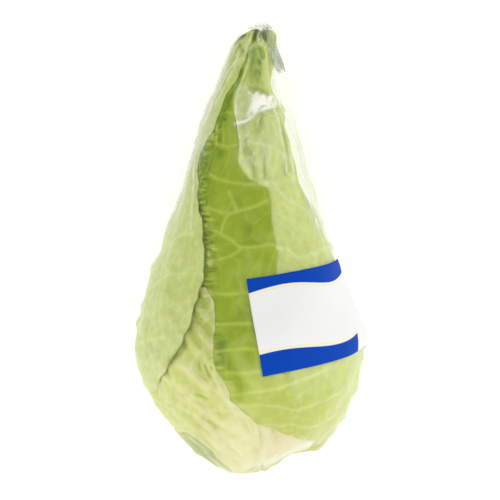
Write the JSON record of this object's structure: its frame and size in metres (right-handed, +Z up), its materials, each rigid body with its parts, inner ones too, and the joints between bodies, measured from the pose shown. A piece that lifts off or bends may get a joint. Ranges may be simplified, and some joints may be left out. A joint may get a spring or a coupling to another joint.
{
  "type": "pointed cabbage",
  "caption": "Whole pointed cabbage with wrapped outer leaves and a cut stem, in a clear gathered film with a paper label, lying on its back.",
  "frame": {"origin": "on the surface it rests on, under the middle of the whole head", "axes": "+Y along the head towards its gathered tip, +Z up from the surface, +X to the side with the label"},
  "size_m": [0.1272, 0.2462, 0.1158],
  "materials": {
    "film": "clear thin wrinkled film, glossy",
    "label": "smooth printed paper, satin",
    "leaf_pale_green": "waxy leaf, satin",
    "leaf_green": "waxy leaf, satin",
    "leaf_base": "pale ribbed leaf base, satin",
    "stem": "cut stem, matt"
  },
  "bodies": {
    "root": {"film_wrap": "film", "label": "label", "leaf_left": "leaf_pale_green", "leaf_lower_left": "leaf_base", "leaf_front": "leaf_green", "leaf_base_left": "leaf_green", "leaf_base_right": "leaf_base", "leaf_back_left": "leaf_pale_green", "leaf_back_right": "leaf_pale_green", "heart": "leaf_base", "stem": "stem"}
  },
  "joints": []
}
